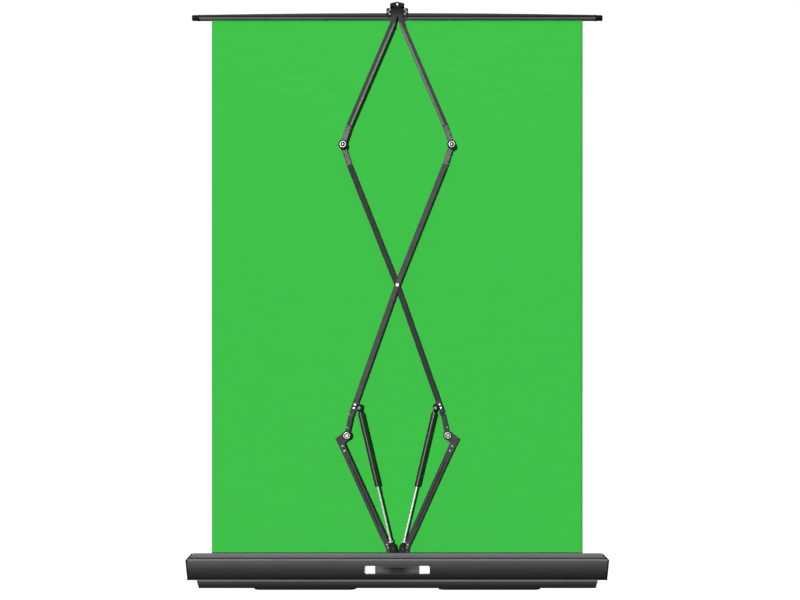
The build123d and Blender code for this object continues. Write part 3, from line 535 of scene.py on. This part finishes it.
def flute(name, node, body, share, shift, half_width, material):
    """A shallow rolled strip along a bar's front, shifted towards +X, in mm."""
    middle, direction, half_length = bar_section(node, share)
    side = Vector((abs(direction.z), 0, -direction.x * math.copysign(1, direction.z)))
    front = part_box(node)[0].y
    reach = half_length - FLUTE_TRIM * MM
    section = [(-half_width, FLUTE_ROOT), (-half_width + FLUTE_EDGE, -FLUTE_RELIEF),
               (half_width - FLUTE_EDGE, -FLUTE_RELIEF), (half_width, FLUTE_ROOT)]

    def make(shape):
        ends = []
        for end in (-reach, reach):
            base = middle + direction * end + Vector((0, front, 0))
            ends.append([shape.verts.new(base + side * (shift + across) * MM
                                         + Vector((0, depth * MM, 0)))
                         for across, depth in section])
        joined(shape, *ends)
        shape.faces.new(ends[0])
        shape.faces.new(list(reversed(ends[1])))
    mesh_piece(name, make, "arm_steel", body, material, smooth=20)


for side, inward in (("left", 1), ("right", -1)):
    # a lighter strip of painted highlight along each upper arm's edge
    flute(f"upper_arm_edge_{side}", f"upper_arm_{side}", f"{side}_upper_arm", UPPER_BAR_SHARE,
          6.0 * inward, 3.4, UPPER_EDGE_PAINTED_HIGHLIGHT)
    # a black strip of painted groove shade along each lower arm
    flute(f"lower_arm_flute_{side}", f"lower_arm_{side}", f"{side}_lower_arm", 1.0,
          0.8, 1.9, GROOVE_PAINTED_SHADE)


# ======================= strut fittings =======================

STRUT_LENGTH = 0.607        # up to the stud's dome, which is 5 mm short of the CAD's stud

# (radius, distance) in mm: up the strut from its lower pivot, and TOP_COLLAR's from its upper
# stud; EYE_RING's and STUD_DOME's backwards from the front of the eye and of the socket
ROD_COLLAR = [(4.2, 66), (9.2, 66.4), (10.2, 67.4), (10.2, 69.6), (9.0, 70.8), (4.2, 71.2)]
ROD_GLAND = [(4.2, 77.5), (5.4, 78.0), (6.0, 79.6), (5.4, 82.2), (4.2, 82.8)]
EYE_RING = [(2.6, 0.2), (3.0, -0.9), (4.4, -1.3), (5.4, -0.8), (5.8, 0.2)]
EYE_RING_HEIGHT = 0.044
TOP_COLLAR = [(6.0, -24), (8.4, -23.4), (9.0, -21.8), (8.8, -18.6), (7.0, -17.0), (5.4, -16.6)]
STUD_DOME = [(0, -3.4), (2.4, -3.1), (3.0, -2.2), (4.6, -2.6), (6.6, -2.0), (8.0, -0.6),
             (8.4, 0.6), (8.2, 0.8)]

JOINTS = {joint["name"]: joint for joint in frame["joints"]}
for side in ("left", "right"):
    lower = Vector(JOINTS[f"{side}_strut_swing"]["pos_m"])
    upwards = -Vector(JOINTS[f"{side}_strut_stroke"]["axis"]).normalized()
    low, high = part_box(f"strut_rod_{side}")
    lower.y = (low.y + high.y) / 2
    socket_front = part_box(f"strut_socket_{side}")[0].y
    eye_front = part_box(f"strut_eye_{side}")[0].y
    stud = lower + upwards * STRUT_LENGTH
    spot = lower + upwards * EYE_RING_HEIGHT
    for name, outline, origin, axis, slot_name, body, material in (
            ("rod_collar", ROD_COLLAR, lower, upwards, "rod_chrome", "rod", COLLAR),
            ("rod_gland", ROD_GLAND, lower, upwards, "rod_chrome", "rod", COLLAR),
            ("eye_ring", EYE_RING, Vector((spot.x, eye_front, spot.z)), BACKWARDS,
             "pin_steel", "rod", DULL_STEEL),
            ("top_collar", TOP_COLLAR, stud, upwards, "pin_steel", "cylinder", DULL_STEEL),
            ("stud_dome", STUD_DOME, Vector((stud.x, socket_front, stud.z)), BACKWARDS,
             "pin_steel", "cylinder", DULL_STEEL)):
        mesh_piece(f"{name}_{side}", turned(outline, origin, axis), slot_name, f"{side}_{body}",
                   material)


# ======================= carrying strap =======================

STRAP_STEPS = 72
# in mm: the band's thickness, how far its top edge dips in the middle, its channel's depth, and
# how far the channel's slopes start and end from its edges
STRAP_THICKNESS = 3.0
STRAP_DIP = 4.0
STRAP_RIDGE = 0.5
STRAP_RIM, STRAP_SLOPE = 4.2, 5.2


def strap_outline(half_height):
    """The strap's section, (z, y) in mm: rolled edges and a shallow channel along its face."""
    corner = STRAP_THICKNESS / 2
    face = [(-half_height + corner, -corner), (-half_height + STRAP_RIM, -corner),
            (-half_height + STRAP_SLOPE, -corner + STRAP_RIDGE),
            (half_height - STRAP_SLOPE, -corner + STRAP_RIDGE),
            (half_height - STRAP_RIM, -corner), (half_height - corner, -corner)]
    turn = [(math.cos(math.radians(a)), math.sin(math.radians(a))) for a in range(-60, 61, 30)]
    upper = [(half_height - corner + corner * c, corner * s) for c, s in turn]
    lower = [(-half_height + corner - corner * c, -corner * s) for c, s in turn]
    back = [(half_height - corner, corner), (-half_height + corner, corner)]
    return face + upper + back + lower


def make_strap(shape):
    """The rubber grip: a band that bows out in its middle, where its top edge dips."""
    low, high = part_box("handle_strap")
    middle, half = (low + high) / 2, (high.x - low.x) / 2
    half_height = (high.z - low.z) / 2 / MM
    proud = (high.y - low.y) / MM - STRAP_THICKNESS
    sections = []
    for step in range(STRAP_STEPS + 1):
        share = 2 * step / STRAP_STEPS - 1
        bow = 1 - share * share
        depth = high.y - (STRAP_THICKNESS / 2 + proud * bow) * MM
        section = []
        for z, y in strap_outline(half_height):
            height = z - STRAP_DIP * bow * (z / half_height + 1) / 2
            section.append(shape.verts.new((middle.x + share * half, depth + y * MM,
                                            middle.z + height * MM)))
        sections.append(section)
    for first, second in zip(sections, sections[1:]):
        joined(shape, first, second)
    shape.faces.new(sections[0])
    shape.faces.new(list(reversed(sections[-1])))


strap = mesh_piece("carrying_strap", make_strap, "strap_rubber", "case")
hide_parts("handle_strap")


# ======================= cloth =======================

CLOTH_COLUMNS = 120
CLOTH_ROWS = 180
CLOTH_THICKNESS = 0.5


# (waves up the cloth in radians, phase, height in mm) of its cross ripples
RIPPLES = ((23.0, 1.0, 0.16), (57.0, 2.2, 0.07))
CURL_HEIGHT, CURL_START, CURL_WIDTH = 1.1, 0.93, 0.07   # of its two side edges
PULL_HEIGHT, PULL_WAVES = 0.06, 31.0                    # of the rail's and roller's grip
SEED = 3.1


def cloth_depth(across, up):
    """How far the stretched cloth stands from its plane, in mm, at a share across and up it."""
    slack = math.sin(math.pi * up)
    edge = abs(2 * across - 1)
    wave = sum(math.sin(up * waves + phase * SEED) * height for waves, phase, height in RIPPLES)
    curl = CURL_HEIGHT * max(0.0, edge - CURL_START) / CURL_WIDTH
    uneven = 0.6 + 0.4 * math.sin(up * 9.0 + SEED * (across > 0.5))
    pull = PULL_HEIGHT * math.sin(across * PULL_WAVES + 4.0 * up + SEED) * (1 - slack) ** 2
    return slack ** 2 * (wave + curl * uneven) + pull


def make_cloth(shape):
    """The stretched backdrop from the roller up into the top rail."""
    low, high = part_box("fabric_panel")
    plane = (low.y + high.y) / 2
    rows = []
    for r in range(CLOTH_ROWS + 1):
        up = r / CLOTH_ROWS
        rows.append([shape.verts.new((low.x + (high.x - low.x) * c / CLOTH_COLUMNS,
                                      plane + cloth_depth(c / CLOTH_COLUMNS, up) * MM,
                                      low.z + (high.z - low.z) * up))
                     for c in range(CLOTH_COLUMNS + 1)])
    for lower, upper in zip(rows, rows[1:]):
        for c in range(CLOTH_COLUMNS):
            shape.faces.new((lower[c], lower[c + 1], upper[c + 1], upper[c]))


cloth = mesh_piece("backdrop_cloth", make_cloth, "cloth", "case")
thickness = cloth.modifiers.new("thickness", "SOLIDIFY")
thickness.thickness = CLOTH_THICKNESS * MM
thickness.offset = 0
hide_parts("fabric_panel")
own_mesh(cloth)


# ======================= softened edges =======================

EDGE_WIDTHS = {     # in mm
    "front_panel": 0.7, "rear_panel": 0.6, "end_cap_left": 1.0, "end_cap_right": 1.0,
    "base_tray": 0.6, "foot_left": 0.8, "foot_right": 0.8, "handle_recess": 0.6,
    "base_bracket": 0.4, "hub_block": 0.5, "hub_plate": 0.4, "top_rail": 0.5,
    "rail_end_caps": 0.6, "lower_arm_left": 0.7, "lower_arm_right": 0.7, "upper_arm_left": 0.9,
    "upper_arm_right": 0.9, "long_bar_a": 0.9, "long_bar_b": 0.9,
}
for node, width in EDGE_WIDTHS.items():
    soften(frame["nodes"][node], width)


# ======================= floor, light, camera =======================

FLOOR_SIZE = 30
FLOOR_DROP = 0.0005         # below the feet
FLOOR_LIFT = 1.12           # the light that the floor gives off, so that it stays pale
OBJECT_MIDDLE = Vector((0, 0, 1.15))
LAMP_DISTANCE = 4.0
SKY_LIGHT = 0.03            # the sky's strength as light
SKY_SEEN = 1.05             # and as the camera sees it


def make_floor():
    """A broad pale studio floor."""
    material, nodes, links, shader, coordinates = blank_material("studio_floor")
    shade_noise = noise(nodes, links, coordinates, 1.5, 2.0)
    links.new(two_tone(nodes, links, shade_noise, grey(0.05), grey(0.06)),
              shader.inputs["Base Color"])
    links.new(two_tone(nodes, links, shade_noise, grey(0.92), grey(0.95)),
              shader.inputs["Emission Color"])
    shader.inputs["Emission Strength"].default_value = FLOOR_LIFT
    shader.inputs["Roughness"].default_value = 0.9
    shape = bmesh.new()
    bmesh.ops.create_grid(shape, x_segments=8, y_segments=8, size=FLOOR_SIZE)
    mesh = bpy.data.meshes.new("floor")
    shape.to_mesh(mesh)
    shape.free()
    mesh.materials.append(material)
    floor = bpy.data.objects.new("floor", mesh)
    bpy.context.scene.collection.objects.link(floor)
    floor.location = (0, 0, -FLOOR_DROP)
    floor.visible_diffuse = False
    floor.visible_glossy = False
    floor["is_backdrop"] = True


def make_light(name, kind, energy, direction, **settings):
    """A lamp that shines along a direction, towards the middle of the object."""
    data = bpy.data.lights.new(name, kind)
    data.energy = energy
    for setting, value in settings.items():
        setattr(data, setting, value)
    lamp = bpy.data.objects.new(name, data)
    bpy.context.scene.collection.objects.link(lamp)
    aim = Vector(direction).normalized()
    lamp.rotation_euler = aim.to_track_quat("-Z", "Y").to_euler()
    lamp.location = OBJECT_MIDDLE - aim * LAMP_DISTANCE


make_floor()
make_light("key", "SUN", 3.05, (0.15, 1.0, -0.10), angle=math.radians(1.5))
make_light("rear", "SUN", 2.4, (-0.30, -1.0, -0.30), angle=math.radians(8.0))
make_light("overhead", "AREA", 18.0, (0.0, 0.35, -1.0), shape="RECTANGLE", size=3.0,
           size_y=1.6)
make_light("front_fill", "AREA", 3.0, (0.06, 1.0, 0.0), shape="RECTANGLE", size=2.6,
           size_y=2.6)

world = bpy.data.worlds.new("studio")
bpy.context.scene.world = world
world.use_nodes = True
nodes, links = world.node_tree.nodes, world.node_tree.links
background = nodes["Background"]
background.inputs["Color"].default_value = (1, 1, 1, 1)
ray = nodes.new("ShaderNodeLightPath")
level = nodes.new("ShaderNodeMapRange")
level.inputs["To Min"].default_value = SKY_LIGHT
level.inputs["To Max"].default_value = SKY_SEEN
links.new(ray.outputs["Is Camera Ray"], level.inputs["Value"])
links.new(level.outputs["Result"], background.inputs["Strength"])

camera_data = bpy.data.cameras.new("camera")
camera_data.sensor_width = 36.0
camera_data.lens = 63.0
camera_data.shift_x = 0.0034
camera_data.shift_y = 0.07125
camera = bpy.data.objects.new("camera", camera_data)
bpy.context.scene.collection.objects.link(camera)
camera.location = (0, -5.506, 0.910)
camera.rotation_euler = (math.radians(90), 0, 0)
bpy.context.scene.camera = camera
bpy.context.scene.view_settings.view_transform = "Standard"

# ======================= sizes =======================

low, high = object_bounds()
